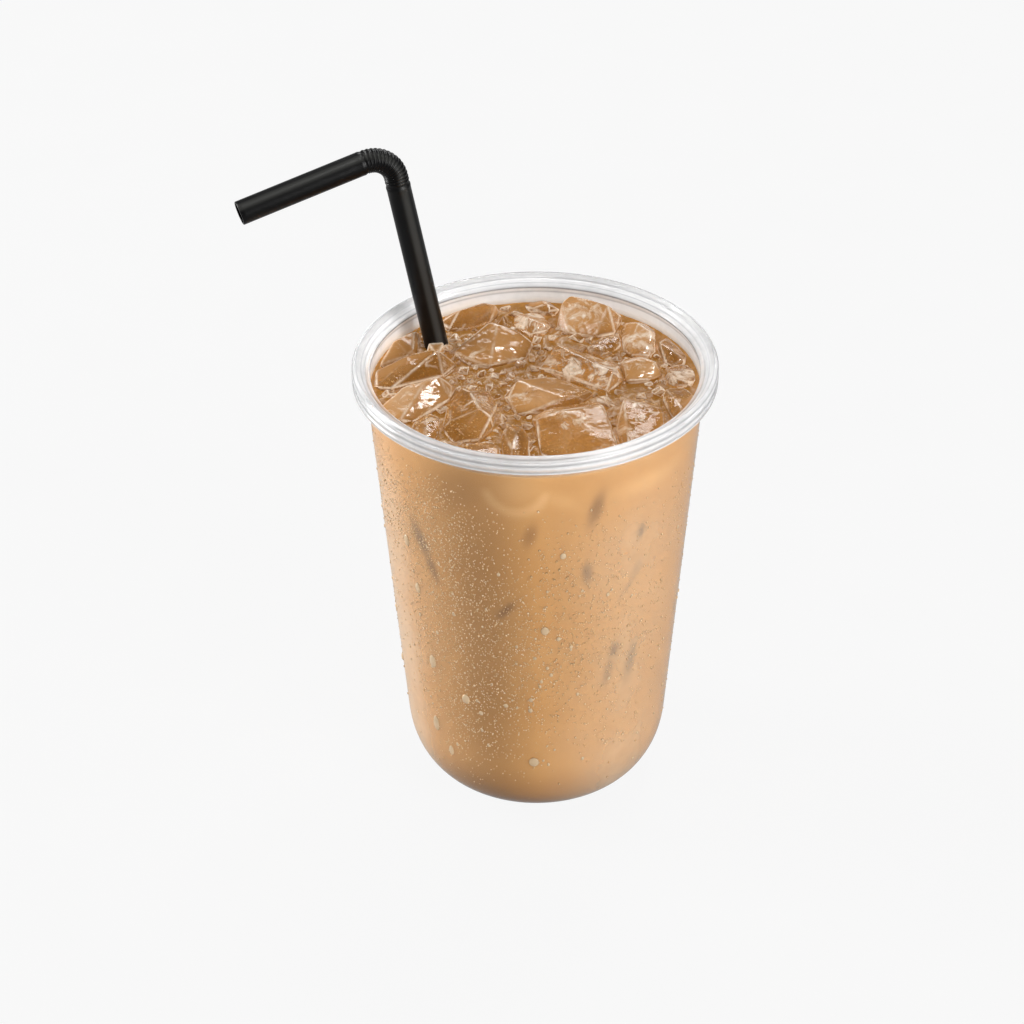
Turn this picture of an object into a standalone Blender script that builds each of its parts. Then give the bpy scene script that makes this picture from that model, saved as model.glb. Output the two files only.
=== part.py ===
"""Iced milk tea in a clear plastic cup, with broken ice at the surface and a black bendy straw.

The script works in millimetres and scales to metres when a mesh is made. +Z is up, and the origin is the
centre of the cup's flat base.
"""

import math

import bmesh
import bpy
import numpy as np
from mathutils import Vector

MM = 0.001
GAP = 0.3  # clearance between two touching pieces

# Cup
TURN_STEPS = 56
WALL_TOP_Z = 114.0  # height at which the wall's outside radius is stated
WALL_TOP_R = 41.6
WALL_TAPER_DEG = 4.98
FOOT_IN = 14.3  # how far the rounded foot draws in from the wall's line
FOOT_H = 18.1
FOOT_POWER = 2.19
WALL_T = 0.9
BASE_T = 1.2
# Rim from the inside of the mouth, over the ridged flange and down the skirt to its underside
RIM = (
    (40.95, 115.8), (40.6, 116.8), (40.5, 117.3), (40.8, 117.7), (41.3, 117.95), (41.9, 118.15), (42.4, 118.6),
    (43.0, 119.0), (43.5, 119.45), (43.95, 119.8), (44.4, 119.6), (44.85, 119.05), (45.0, 118.4), (44.6, 117.9),
    (45.0, 117.3), (45.0, 116.7), (44.6, 116.2), (44.9, 115.7), (44.9, 115.1), (44.6, 114.8), (44.0, 114.8),
    (43.9, 117.4), (43.3, 117.9), (42.2, 117.3), (41.85, 116.7),
)

# Drink
LEVEL = 113.0

# Straw
STRAW_R = 3.0
STRAW_BORE_R = 2.55
STRAW_SIDES = 20
STRAW_AT = (-25.35, 19.62, 117.07)  # a point on the long leg's axis
STRAW_LEAN = (-0.1876, 0.0, 1.0)  # the long leg's direction, upwards
STRAW_FOOT_Z = 5.0
ELBOW_Z = 167.1  # where the axes of the two legs meet
SHORT_LEG = (-1.0, -0.36, -0.262)  # the short leg's direction, outwards
SHORT_LEG_L = 39.7
BEND_R = 6.4
FOLDS = 13
FOLD_TAIL = 1.5  # folded length on the long leg below the bend
FOLD_CREST_R = 3.05
FOLD_TROUGH_R = 2.72
FOLD_BORE_R = 2.3

# Ice
ICE_EDGE = 0.45  # height of a piece's edge above the drink
WAIST = 2.5  # depth to which a piece keeps its full outline
TAPER = 0.76  # the outline's scale at the piece's underside
ICE_BEVEL = 0.35
ICE_APART = 1.45  # least distance between two pieces
ICE_REACH = 39.1  # furthest that ice goes from the cup's axis
ICE_SEED = 11
# Centre x, centre y, length, breadth, turn in degrees, depth, then the ridge's place along and across
# the piece as shares of half its size, and its height above the drink
ICE = (
    (-32.6, 15.6, 17.5, 6.2, 57, 13, 0.14, 0.20, 2.2),
    (-30.7, 5.7, 21.2, 12.6, 28, 15, 0.40, 0.37, 2.3),
    (-28.4, -8.3, 20.8, 12.2, 50, 15, 0.40, 0.30, 2.2),
    (-16.1, 31.9, 15.1, 7.4, 35, 13, 0.25, -0.20, 2.4),
    (-10.3, 17.2, 18.8, 15.8, 32, 16, 0.20, 0.50, 2.2),
    (-0.4, 28.6, 9.6, 7.4, 109, 9, 0.0, 0.0, 2.2),
    (2.2, 37.1, 8.2, 4.9, 150, 8, 0.0, 0.20, 2.2),
    (14.0, 29.5, 15.2, 13.4, 161, 15, 0.40, -0.70, 3.7),
    (11.9, 4.6, 20.2, 14.2, 148, 16, 0.20, -0.60, 2.4),
    (26.0, 20.2, 15.5, 9.2, 91, 14, 0.50, -0.10, 2.4),
    (34.2, 14.0, 12.0, 5.3, 103, 11, 0.40, -0.20, 1.6),
    (25.4, 5.4, 10.6, 9.5, 8, 13, 0.0, 0.50, 1.8),
    (35.8, 2.7, 8.8, 6.4, 95, 10, 0.35, -0.20, 1.5),
    (25.2, -21.2, 25.7, 10.8, 88, 16, 0.70, 0.10, 2.3),
    (35.4, -11.4, 15.5, 7.0, 100, 12, 0.45, 0.10, 1.8),
    (9.5, -23.9, 26.0, 19.5, 97, 16, 0.60, 0.0, 2.3),
    (3.3, -6.1, 20.4, 13.2, 22, 15, -0.20, 0.60, 1.9),
    (-15.8, -14.9, 24.4, 11.5, 84, 16, 0.50, 0.0, 2.4),
    (-13.4, -32.9, 9.4, 9.1, 26, 11, 0.50, 0.50, 1.9),
    (-5.3, -29.7, 18.0, 6.7, 91, 12, 0.70, 0.10, 1.9),
    (-26.7, -21.1, 12.6, 6.2, 84, 11, 0.20, -0.20, 1.7),
    (17.8, 17.9, 9.5, 6.0, 55, 10, 0.20, 0.10, 1.7),
)


def clear_scene():
    for obj in list(bpy.data.objects):
        bpy.data.objects.remove(obj)


def collection(name):
    made = bpy.data.collections.new(name)
    bpy.context.scene.collection.children.link(made)
    return made


def material(name, colour, roughness, alpha=1.0):
    made = bpy.data.materials.new(name)
    made.use_nodes = True
    shader = made.node_tree.nodes["Principled BSDF"]
    shader.inputs["Base Color"].default_value = (*colour, 1.0)
    shader.inputs["Roughness"].default_value = roughness
    shader.inputs["Alpha"].default_value = alpha
    return made


def add_object(name, mesh, home, surface):
    obj = bpy.data.objects.new(name, mesh)
    if surface is not None:
        mesh.materials.append(surface)
    home.objects.link(obj)
    return obj


def mesh_from(name, points, faces):
    mesh = bpy.data.meshes.new(name)
    mesh.from_pydata([(x * MM, y * MM, z * MM) for x, y, z in points], [], faces)
    mesh.update()
    return mesh


def turned(name, profile, home, surface):
    """A solid of revolution from (radius, height) points that run down its outer side."""
    mesh = bpy.data.meshes.new(name)
    edges = [(i, i + 1) for i in range(len(profile) - 1)]
    mesh.from_pydata([(r * MM, 0.0, z * MM) for r, z in profile], edges, [])
    obj = add_object(name, mesh, home, surface)
    screw = obj.modifiers.new("Turn", "SCREW")
    screw.angle = math.tau
    screw.steps = TURN_STEPS
    screw.render_steps = TURN_STEPS
    screw.use_merge_vertices = True
    screw.merge_threshold = 0.00001
    return obj


def outside_radius(z):
    """The cup's outside radius below the rim: a tapered wall drawn in to a rounded foot."""
    radius = WALL_TOP_R - (WALL_TOP_Z - z) * math.tan(math.radians(WALL_TAPER_DEG))
    if z < FOOT_H:
        u = (FOOT_H - z) / FOOT_H
        radius -= FOOT_IN * (1 - (1 - u**FOOT_POWER) ** (1 / FOOT_POWER))
    return radius


def wall_line(inset, low):
    """(radius, height) points up the wall, drawn in square to it, from height low to the stated top."""
    levels = [FOOT_H * (1 - math.cos(t)) for t in np.linspace(0, math.pi / 2, 12)]
    levels += [40.0, 62.0, 84.0, WALL_TOP_Z]
    points = []
    for z in levels:
        below, above = max(z - 0.02, 0.0), z + 0.02
        run, rise = outside_radius(above) - outside_radius(below), above - below
        length = math.hypot(run, rise)
        r, h = outside_radius(z) - inset * rise / length, z + inset * run / length
        if h > low + 0.2:
            points.append((r, h))
    return points


def make_cup(home, surface):
    inside = wall_line(WALL_T, BASE_T)
    profile = [(0.0, BASE_T), (inside[0][0] - 2.0, BASE_T), *inside, *RIM]
    profile += [(outside_radius(z), z) for z in (WALL_TOP_Z, 84.0, 62.0, 40.0)]
    profile += [(outside_radius(z), z) for z in FOOT_H * (1 - np.cos(np.linspace(math.pi / 2, 0, 12)))]
    profile.append((0.0, 0.0))
    return turned("cup", profile, home, surface)


def compass(count):
    turns = np.arange(count) * math.tau / count
    return np.stack([np.cos(turns), np.sin(turns)], axis=1)


def convex(points):
    """The convex outline of points in a plane, anticlockwise."""
    ordered = sorted({(round(float(x), 4), round(float(y), 4)) for x, y in points})
    sides = []
    for row in (ordered, ordered[::-1]):
        side = []
        for p in row:
            while len(side) > 1:
                (ax, ay), (bx, by) = side[-2:]
                if (bx - ax) * (p[1] - ay) - (by - ay) * (p[0] - ax) > 0:
                    break
                side.pop()
            side.append(p)
        sides += side[:-1]
    return np.array(sides)


def cut_back(outline, normal, limit):
    """The part of a convex outline that lies up to limit along normal."""
    kept = []
    for a, b in zip(outline, np.roll(outline, -1, axis=0)):
        over_a, over_b = a @ normal - limit, b @ normal - limit
        if over_a <= 0:
            kept.append(a)
        if over_a * over_b < 0:
            kept.append(a + (b - a) * over_a / (over_a - over_b))
    return convex(kept)


def between(a, b, ways):
    """The gap between two convex outlines, and the direction from a to b in which it is widest."""
    gaps = (b @ ways.T).min(axis=0) - (a @ ways.T).max(axis=0)
    widest = int(gaps.argmax())
    return gaps[widest], ways[widest]


def block_outline(x, y, length, breadth, turn, rng):
    """A rough block seen from above: a rectangle with uneven sides and cut corners."""
    corners = []
    for sx, sy in ((1, 1), (-1, 1), (-1, -1), (1, -1)):
        a, b = length / 2 * rng.uniform(0.92, 1.0), breadth / 2 * rng.uniform(0.92, 1.0)
        corners.append((sx * a, sy * b * rng.uniform(0.40, 0.70)))
        corners.append((sx * a * rng.uniform(0.40, 0.70), sy * b))
    return convex([placed(x, y, turn, u, v) for u, v in corners])


def placed(x, y, turn, u, v):
    """A point of a block's own axes, in the cup's."""
    c, s = math.cos(math.radians(turn)), math.sin(math.radians(turn))
    return x + u * c - v * s, y + u * s + v * c


def straw_zone(ways):
    """What the leaning straw needs, seen from above, from the drink's surface to below the ice."""
    at, lean = Vector(STRAW_AT), Vector(STRAW_LEAN)
    centres = [at + lean * (z - at.z) for z in (LEVEL + 3.0, LEVEL - 16.0)]
    reach = ways * (STRAW_R + 1.25)
    return convex([(c.x + dx, c.y + dy) for c in centres for dx, dy in reach])


def ice_outlines():
    """Each piece's outline at the surface, cut back from its neighbours, the straw and the cup."""
    ways = compass(144)
    rng = np.random.default_rng(ICE_SEED)
    zone = straw_zone(compass(24))
    outlines = [block_outline(*row[:5], rng) for row in ICE]
    for _ in range(5):
        for i, outline in enumerate(outlines):
            for way in compass(36):
                outline = cut_back(outline, way, ICE_REACH)
            gap, way = between(outline, zone, ways)
            outlines[i] = cut_back(outline, way, (zone @ way).min()) if gap < 0 else outline
            for j in range(i + 1, len(outlines)):
                gap, way = between(outlines[i], outlines[j], ways)
                if gap < ICE_APART:
                    middle = ((outlines[i] @ way).max() + (outlines[j] @ way).min()) / 2
                    outlines[i] = cut_back(outlines[i], way, middle - ICE_APART / 2 - 0.01)
                    outlines[j] = cut_back(outlines[j], -way, -middle - ICE_APART / 2 - 0.01)
    return [plainer(outline) for outline in outlines]


def plainer(outline):
    """Drops the corners that stand out by less than 0.3 mm."""
    points = list(outline)
    while len(points) > 5:
        heights = []
        for i, at in enumerate(points):
            chord = points[(i + 1) % len(points)] - points[i - 1]
            arm = at - points[i - 1]
            heights.append(abs(arm[0] * chord[1] - arm[1] * chord[0]) / math.hypot(*chord))
        least = int(np.argmin(heights))
        if heights[least] > 0.3:
            break
        points.pop(least)
    return np.array(points)


def pulled_in(point, outline, margin):
    """A point moved inwards until it is margin from every side of a convex outline."""
    at = np.array(point, float)
    for _ in range(30):
        for a, b in zip(outline, np.roll(outline, -1, axis=0)):
            along = (b - a) / math.hypot(*(b - a))
            way = np.array([along[1], -along[0]])
            at = at - way * max(0.0, (at - a) @ way + margin)
    return at


def ridge(row, outline):
    """The two ends of the ridge on a piece's top, which runs across the view."""
    x, y, length, breadth, turn, _, along, across, height = row
    cx, cy = placed(x, y, turn, along * length / 2, across * breadth / 2)
    reach = 0.22 * np.ptp(outline[:, 0])
    ends = [pulled_in((cx + side * reach, cy), outline, 0.7) for side in (-1, 1)]
    return [(*ends[0], LEVEL + height), (*ends[1], LEVEL + height - 0.4)]


def outward(corners, distance):
    """A convex outline moved outwards by distance along every edge."""
    pts = [Vector(p) for p in corners]
    count = len(pts)
    moved = []
    for i in range(count):
        before, at, after = pts[i - 1], pts[i], pts[(i + 1) % count]
        a, b = (at - before).normalized(), (after - at).normalized()
        na, nb = Vector((a.y, -a.x)), Vector((b.y, -b.x))
        moved.append(tuple(at + (na + nb) * (distance / (1 + na.dot(nb)))))
    return moved


def shrunk(corners, scale):
    middle = np.mean(corners, axis=0)
    return middle + (corners - middle) * scale


def hull_mesh(name, points):
    """The closed convex body round a set of points."""
    shape = bmesh.new()
    for x, y, z in points:
        shape.verts.new((x * MM, y * MM, z * MM))
    made = bmesh.ops.convex_hull(shape, input=shape.verts)
    spare = [g for g in made["geom_interior"] + made["geom_unused"] if isinstance(g, bmesh.types.BMVert)]
    bmesh.ops.delete(shape, geom=list(set(spare)), context="VERTS")
    bmesh.ops.dissolve_limit(shape, angle_limit=math.radians(2), verts=shape.verts, edges=shape.edges)
    bmesh.ops.recalc_face_normals(shape, faces=shape.faces)
    mesh = bpy.data.meshes.new(name)
    shape.to_mesh(mesh)
    shape.free()
    return mesh


def make_ice(home, surface, outlines):
    for number, (row, corners) in enumerate(zip(ICE, outlines), 1):
        points = [(x, y, LEVEL + ICE_EDGE) for x, y in corners]
        points += [(x, y, LEVEL - WAIST) for x, y in corners]
        points += [(x, y, LEVEL - row[5]) for x, y in shrunk(corners, TAPER)]
        points += ridge(row, corners)
        name = f"ice_{number:02d}"
        obj = add_object(name, hull_mesh(name, points), home, surface)
        bevel = obj.modifiers.new("Melted edges", "BEVEL")
        bevel.width = ICE_BEVEL * MM
        bevel.segments = 1
        bevel.limit_method = "ANGLE"
        bevel.angle_limit = math.radians(20)


def add_pockets(home, outlines):
    for number, (row, corners) in enumerate(zip(ICE, outlines), 1):
        full, low = outward(corners, GAP), outward(shrunk(corners, TAPER), GAP)
        points = [(x, y, LEVEL + 8.0) for x, y in full]
        points += [(x, y, LEVEL - WAIST - GAP) for x, y in full]
        points += [(x, y, LEVEL - row[5] - GAP) for x, y in low]
        name = f"pocket_{number:02d}"
        add_object(name, hull_mesh(name, points), home, None)


def ring_frame(direction, side):
    """Two unit vectors across a tube that runs along direction."""
    along = direction.normalized()
    return side.normalized(), along.cross(side).normalized()


def tube_ring(centre, direction, side, radius):
    across, over = ring_frame(direction, side)
    turns = [math.tau * i / STRAW_SIDES for i in range(STRAW_SIDES)]
    return [tuple(centre + (across * math.cos(t) + over * math.sin(t)) * radius) for t in turns]


def skin_faces(rings, first, flip):
    """Quads between neighbouring rings of one skin."""
    faces = []
    for k in range(rings - 1):
        for i in range(STRAW_SIDES):
            j = (i + 1) % STRAW_SIDES
            a, b = first + k * STRAW_SIDES, first + (k + 1) * STRAW_SIDES
            quad = (a + i, a + j, b + j, b + i)
            faces.append(quad[::-1] if flip else quad)
    return faces


def straw_path():
    """(centre, direction, outside radius, bore radius) of each ring, from the foot to the tip."""
    lean, short = Vector(STRAW_LEAN).normalized(), Vector(SHORT_LEG).normalized()
    at = Vector(STRAW_AT)
    foot = at + lean * ((STRAW_FOOT_Z - at.z) / lean.z)
    corner = at + lean * ((ELBOW_Z - at.z) / lean.z)
    turn = math.acos(lean.dot(short))
    reach = BEND_R * math.tan(turn / 2)
    bend_start = corner - lean * reach
    inward = (short - lean * lean.dot(short)).normalized()
    hub = bend_start + inward * BEND_R
    length = FOLD_TAIL + BEND_R * turn
    folds_start = bend_start - lean * (FOLD_TAIL + 0.6)
    rings = [(foot, lean, STRAW_R, STRAW_BORE_R), (folds_start, lean, STRAW_R, STRAW_BORE_R)]
    for k in range(2 * FOLDS + 1):
        s = length * k / (2 * FOLDS) - FOLD_TAIL
        if s <= 0:
            centre, direction = bend_start + lean * s, lean
        else:
            t = s / BEND_R
            centre = hub + (lean * math.sin(t) - inward * math.cos(t)) * BEND_R
            direction = lean * math.cos(t) + inward * math.sin(t)
        rings.append((centre, direction, FOLD_TROUGH_R if k % 2 == 0 else FOLD_CREST_R, FOLD_BORE_R))
    bend_end = corner + short * reach
    rings.append((bend_end + short * 0.6, short, STRAW_R, STRAW_BORE_R))
    rings.append((corner + short * SHORT_LEG_L, short, STRAW_R, STRAW_BORE_R))
    return rings, lean.cross(short)


def make_straw(home, surface):
    rings, side = straw_path()
    points = []
    for column in (2, 3):
        for ring in rings:
            points += tube_ring(ring[0], ring[1], side, ring[column])
    count = len(rings)
    inner = count * STRAW_SIDES
    faces = skin_faces(count, 0, False) + skin_faces(count, inner, True)
    top = (count - 1) * STRAW_SIDES
    for i in range(STRAW_SIDES):
        j = (i + 1) % STRAW_SIDES
        faces.append((inner + i, inner + j, j, i))
        faces.append((top + i, top + j, inner + top + j, inner + top + i))
    return add_object("straw", mesh_from("straw", points, faces), home, surface)


def add_sleeve(home):
    """The space that the straw takes up in the drink."""
    lean, at = Vector(STRAW_LEAN).normalized(), Vector(STRAW_AT)
    foot = at + lean * ((STRAW_FOOT_Z - 2 * GAP - at.z) / lean.z)
    ends = [foot, at + lean * 12.0]
    points = [p for end in ends for p in tube_ring(end, lean, Vector((0.0, 1.0, 0.0)), STRAW_R + GAP + 0.05)]
    add_object("sleeve", hull_mesh("sleeve", points), home, None)


def make_drink(home, cutters, surface):
    side = [p for p in wall_line(WALL_T + GAP, BASE_T + GAP) if p[1] < LEVEL - 1.0]
    top_r = outside_radius(LEVEL) - WALL_T - GAP
    profile = [(0.0, LEVEL), (top_r, LEVEL), *side[::-1]]
    profile += [(side[0][0] - 2.0, BASE_T + GAP), (0.0, BASE_T + GAP)]
    obj = turned("drink", profile, home, surface)
    cut = obj.modifiers.new("Room for ice and straw", "BOOLEAN")
    cut.operation = "DIFFERENCE"
    cut.operand_type = "COLLECTION"
    cut.collection = cutters
    cut.solver = "EXACT"
    return obj


def main():
    clear_scene()
    home = collection("iced_milk_tea")
    cutters = collection("cutters")
    cup_plastic = material("cup_plastic", (0.93, 0.94, 0.95), 0.08, 0.35)
    milk_tea = material("milk_tea", (0.56, 0.33, 0.14), 0.25)
    ice = material("ice", (0.80, 0.62, 0.42), 0.08)
    black_plastic = material("black_plastic", (0.012, 0.012, 0.013), 0.22)
    make_cup(home, cup_plastic)
    make_straw(home, black_plastic)
    outlines = ice_outlines()
    make_ice(home, ice, outlines)
    add_pockets(cutters, outlines)
    add_sleeve(cutters)
    for cutter in cutters.objects:
        cutter.hide_render = True
        cutter.display_type = "WIRE"
    make_drink(home, cutters, milk_tea)


main()
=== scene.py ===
"""Looks of the iced milk tea: a clear cup, milk tea, broken ice, a black bendy straw and condensation.

Lengths are millimetres until an object is made, which scales them to metres. +Z is up, and the origin is the
centre of the cup's base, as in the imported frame. An azimuth on the cup's wall is in degrees from the front
(-Y), positive to the camera's right (+X).
"""

import math

import bmesh
import bpy
import numpy as np
from mathutils import Matrix, Vector
from mathutils.bvhtree import BVHTree


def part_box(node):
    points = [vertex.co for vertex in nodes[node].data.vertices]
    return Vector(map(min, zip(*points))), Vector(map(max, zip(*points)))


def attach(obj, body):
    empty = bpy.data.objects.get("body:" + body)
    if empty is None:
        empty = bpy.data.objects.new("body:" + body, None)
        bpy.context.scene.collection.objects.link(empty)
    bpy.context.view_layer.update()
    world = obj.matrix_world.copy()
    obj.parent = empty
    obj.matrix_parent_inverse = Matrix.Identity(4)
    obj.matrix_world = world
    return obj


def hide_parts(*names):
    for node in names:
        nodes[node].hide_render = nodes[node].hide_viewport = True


MM = 0.001

# Camera
CAMERA_AT = (-5.98, -737.37, 558.86)
CAMERA_TILT_DEG = 56.744
CAMERA_ROLL_DEG = -0.507
CAMERA_LENS = 123.05
SENSOR = 36.0

# Cup, the same sizes as the solid
WALL_TOP_Z = 114.0
WALL_TOP_R = 41.6
WALL_TAPER_DEG = 4.98
FOOT_IN = 14.3
FOOT_H = 18.1
FOOT_POWER = 2.19
WALL_T = 0.9
BASE_T = 1.2
RIM = (
    (40.95, 115.8), (40.6, 116.8), (40.5, 117.3), (40.8, 117.7), (41.3, 117.95), (41.9, 118.15), (42.4, 118.6),
    (43.0, 119.0), (43.5, 119.45), (43.95, 119.8), (44.4, 119.6), (44.85, 119.05), (45.0, 118.4), (44.6, 117.9),
    (45.0, 117.3), (45.0, 116.7), (44.6, 116.2), (44.9, 115.7), (44.9, 115.1), (44.6, 114.8), (44.0, 114.8),
    (43.9, 117.4), (43.3, 117.9), (42.2, 117.3), (41.85, 116.7),
)
CUP_TOP_R = 45.0
CUP_TOP_Z = 120.0
CUP_SEGMENTS = 232
CUP_WALL_ROWS = 40
FOOT_ROWS = 30  # in the cup and in the tea
# Painted shade: grey lines along the rim's grooves, standing in for their dark refraction: radius, height, half
# width, strength
RIM_SHADE_LINES = (
    (40.5, 117.2, 0.24, 0.9), (41.0, 115.9, 0.18, 0.6), (41.6, 118.05, 0.16, 0.5), (42.7, 118.8, 0.14, 0.45),
    (43.95, 119.8, 0.15, 0.5), (44.8, 119.1, 0.2, 0.6), (44.9, 117.3, 0.28, 0.65), (44.8, 115.6, 0.24, 0.6),
    (44.6, 114.8, 0.2, 0.8),
)
RIM_FROM_Z = 114.6
INNER_WALL_FROM_Z, INNER_WALL_TO_Z, INNER_WALL_R = 112.6, 117.0, 41.7
RIM_HAZE = 0.36
INNER_WALL_HAZE = 0.62  # on the inside of the wall between the tea and the rim

# Milk tea
LEVEL = 113.0
INTO_WALL = 0.2  # how far the tea reaches into the wall, so that no gap shows
TOP_CELLS = 152  # cells along a side of the square that is wrapped to the round surface
TEA_WALL_ROWS = 76
POCKET_DEPTH = 3.0  # how far down the tea is seen through a piece of ice
POCKET_SLOPE = 1.5  # how gently it deepens from the piece's edge
TEA_SUNK = 0.6  # how far the open tea lies below the solid's level
FOLD_LENGTH = 9.0  # between the folds that the melting ice pulls in the surface
FOLD_RISE = 0.45
CLIMB_AT_ICE = 0.45
CLIMB_AT_WALL = 0.35
WALL_MEAN_R = 38.0  # turns an azimuth on the wall into a length

# Straw, the same axis as the solid
STRAW_R = 3.0
STRAW_BORE_R = 2.55
STRAW_AT = (-25.35, 19.62, 117.07)
STRAW_LEAN = (-0.1876, 0.0, 1.0)
STRAW_FOOT_Z = 5.0
ELBOW_Z = 167.1
SHORT_LEG = (-1.0, -0.36, -0.262)
SHORT_LEG_L = 39.7
BEND_R = 6.4
FOLDS = 15
FOLD_TAIL = 1.5
FOLD_CREST_R = 3.0
FOLD_TROUGH_R = 2.8
STRAW_SIDES = 56
SHEEN_LONG_DEG = 10.0  # where the painted sheen, a dull grey highlight band, lies round each leg
SHEEN_SHORT_DEG = 53.0
SHEEN_WIDTH_DEG = 19.0
STRAW_SHEEN = (0.045, 0.045, 0.042)

# How ice_01 to ice_22 look: share of white frost, share of tea film, depth of the film's brown
ICE_LOOKS = (
    (0.1, 0.6, 0.3), (0.05, 0.55, 0.7), (0.1, 0.7, 0.4), (0.1, 0.6, 0.3), (0.05, 0.6, 0.6), (0.35, 0.45, 0.0),
    (0.1, 0.6, 0.7), (0.15, 0.5, 0.3), (0.3, 0.4, 0.1), (0.25, 0.5, 0.3), (0.05, 0.6, 1.0), (0.15, 0.7, 0.2),
    (0.3, 0.4, 0.3), (0.15, 0.5, 0.4), (0.1, 0.5, 0.8), (0.1, 0.5, 0.6), (0.1, 0.6, 0.5), (0.1, 0.5, 0.7),
    (0.2, 0.5, 0.5), (0.1, 0.5, 0.9), (0.15, 0.5, 0.5), (0.2, 0.4, 0.7),
)
ICE_VOXEL = 0.38
ICE_SWELL = 0.8  # how far the ice reaches over the edge of its solid's outline
ICE_RISE = 1.3  # the ridges' rises are scaled by this
ICE_ROUNDING = 6.0  # higher is sharper, for each mm
ICE_SEED = 5
ICE_EDGE_HIGHLIGHT_W = 0.34  # half width of the painted highlight, a pale line along an edge
# Ridges on the ice as seen from the camera: x and y where its line of sight meets z = 115, and the rise above the tea
SIGHT_Z = 115.0
SIGHT_SLOPE = 1.66
ICE_RIDGES = {
    "ice_01": ((-35.5, 19.4, 2.0), (-30.0, 23.0, 1.6), (-36.5, 11.0, 0.8)),
    "ice_02": ((-24.0, 13.6, 3.4), (-18.0, 1.9, 0.9), (-37.8, 5.1, 0.8), (-30.5, 11.8, 2.6)),
    "ice_03": ((-36.7, -8.6, 0.8), (-32.6, -4.5, 1.9), (-23.4, 0.6, 2.6), (-19.2, -3.3, 1.2)),
    "ice_04": ((-13.1, 36.8, 2.9), (-19.0, 33.0, 2.2), (-8.0, 36.0, 2.0)),
    "ice_05": ((-9.3, 25.7, 3.0), (-9.4, 8.5, 0.5), (-21.1, 17.5, 1.0), (-11.1, 27.3, 2.6), (-4.8, 23.2, 2.0)),
    "ice_08": ((9.2, 40.1, 4.4), (18.7, 35.1, 4.0), (6.1, 36.5, 3.6), (4.1, 24.1, 0.8), (22.7, 29.6, 1.6),
               (15.3, 18.6, 0.6)),
    "ice_09": ((-0.7, 9.8, 1.2), (5.4, 15.6, 3.2), (19.0, 2.3, 2.4), (3.2, 2.5, 1.4), (7.2, -5.1, 0.7),
               (15.7, -8.6, 0.3)),
    "ice_10": ((25.9, 26.0, 2.8), (24.0, 17.0, 1.6), (30.0, 20.0, 2.2)),
    "ice_11": ((30.6, 16.6, 1.9), (31.0, 8.8, 0.9), (38.4, 6.7, 0.7)),
    "ice_12": ((18.9, 8.0, 1.4), (26.1, 9.4, 1.9), (29.7, 6.9, 1.7), (29.4, -1.3, 0.6), (22.0, -1.6, 0.5)),
    "ice_13": ((32.1, -1.8, 1.7), (38.3, -4.7, 1.0)),
    "ice_14": ((20.1, -8.6, 2.4), (25.0, -20.3, 1.4), (23.0, -28.0, 0.8)),
    "ice_16": ((-2.2, -18.9, 1.8), (5.9, -15.4, 3.0), (18.6, -10.0, 2.0), (14.0, -27.0, 1.4)),
    "ice_17": ((-6.7, -9.6, 1.0), (-5.0, -1.1, 2.2), (-2.4, -12.9, 0.9), (12.0, -10.0, 1.4)),
    "ice_18": ((-16.0, -6.6, 1.8), (-13.5, -14.1, 2.9), (-10.4, -18.8, 2.4), (-10.6, -25.2, 1.0),
               (-19.0, -20.0, 0.8)),
}
# White places in the ice: x and y where the line of sight meets z = 115, radius, strength
ICE_PALES = (
    (-16.1, 10.2, 3.6, 0.55), (12.3, 2.0, 7.0, 0.5), (9.7, -20.6, 4.5, 0.6), (-12.4, -11.5, 4.2, 0.6),
    (25.9, 18.4, 4.5, 0.45), (10.2, 28.1, 6.0, 0.4), (22.4, -16.4, 5.0, 0.5), (-30.8, -12.3, 4.5, 0.3),
    (24.2, 3.5, 4.5, 0.25), (35.6, -1.2, 3.0, 0.45), (-4.1, -10.5, 3.0, 0.45), (-11.3, -29.9, 2.5, 0.6),
    (-26.4, 7.5, 2.5, 0.3), (-0.4, 28.0, 4.0, 0.55),
)
SLUSH_COUNT = 110  # small broken bits afloat between the pieces
SLUSH_SMALL, SLUSH_LARGE = 1.4, 3.4
SLUSH_SPAN = 39
SLUSH_REACH = 39.3  # furthest from the cup's axis
SLUSH_TRIES = 6000
SLUSH_SEED = 12
SLUSH_LUMPS = ((-24.9, 14.6, 3.7, 0.9), (-21.0, 16.0, 2.4, 1.1))  # at the straw: x, y, size, height above the tea
SLUSH_LUMP_LOOK = (0.05, 0.7, 0.5)
SLUSH_VOXEL = 0.24
SLUSH_ROUNDING = 14.0
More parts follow.
